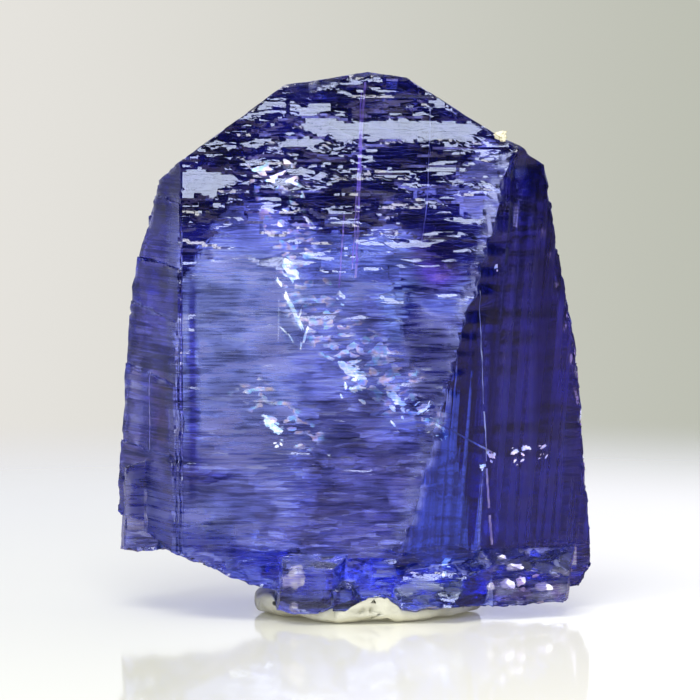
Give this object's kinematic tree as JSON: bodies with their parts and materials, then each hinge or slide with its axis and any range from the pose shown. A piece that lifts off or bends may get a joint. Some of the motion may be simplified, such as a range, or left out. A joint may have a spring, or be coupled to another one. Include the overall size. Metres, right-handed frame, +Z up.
{
  "type": "rough tanzanite crystal",
  "caption": "Rough blue-violet tanzanite crystal, a tapering flat prism with a two-slope tip and broken base, standing on a white putty pad.",
  "frame": {"origin": "on the surface that the pad rests on, under the middle of the whole object's box", "axes": "+Z up the crystal to its tip, -Y out of the wide front face, +X to the right as seen from the front"},
  "size_m": [0.019, 0.0096, 0.0216],
  "materials": {
    "tanzanite": "clear blue-violet crystal with fine growth steps, frosted ridges and chipped edges",
    "white_putty": "matt hand-pressed white mineral putty",
    "cream_rock": "dull cream crumb of host rock"
  },
  "bodies": {
    "root": {"crystal": "tanzanite", "putty_pad": "white_putty", "matrix_crumb": "cream_rock"}
  },
  "joints": []
}
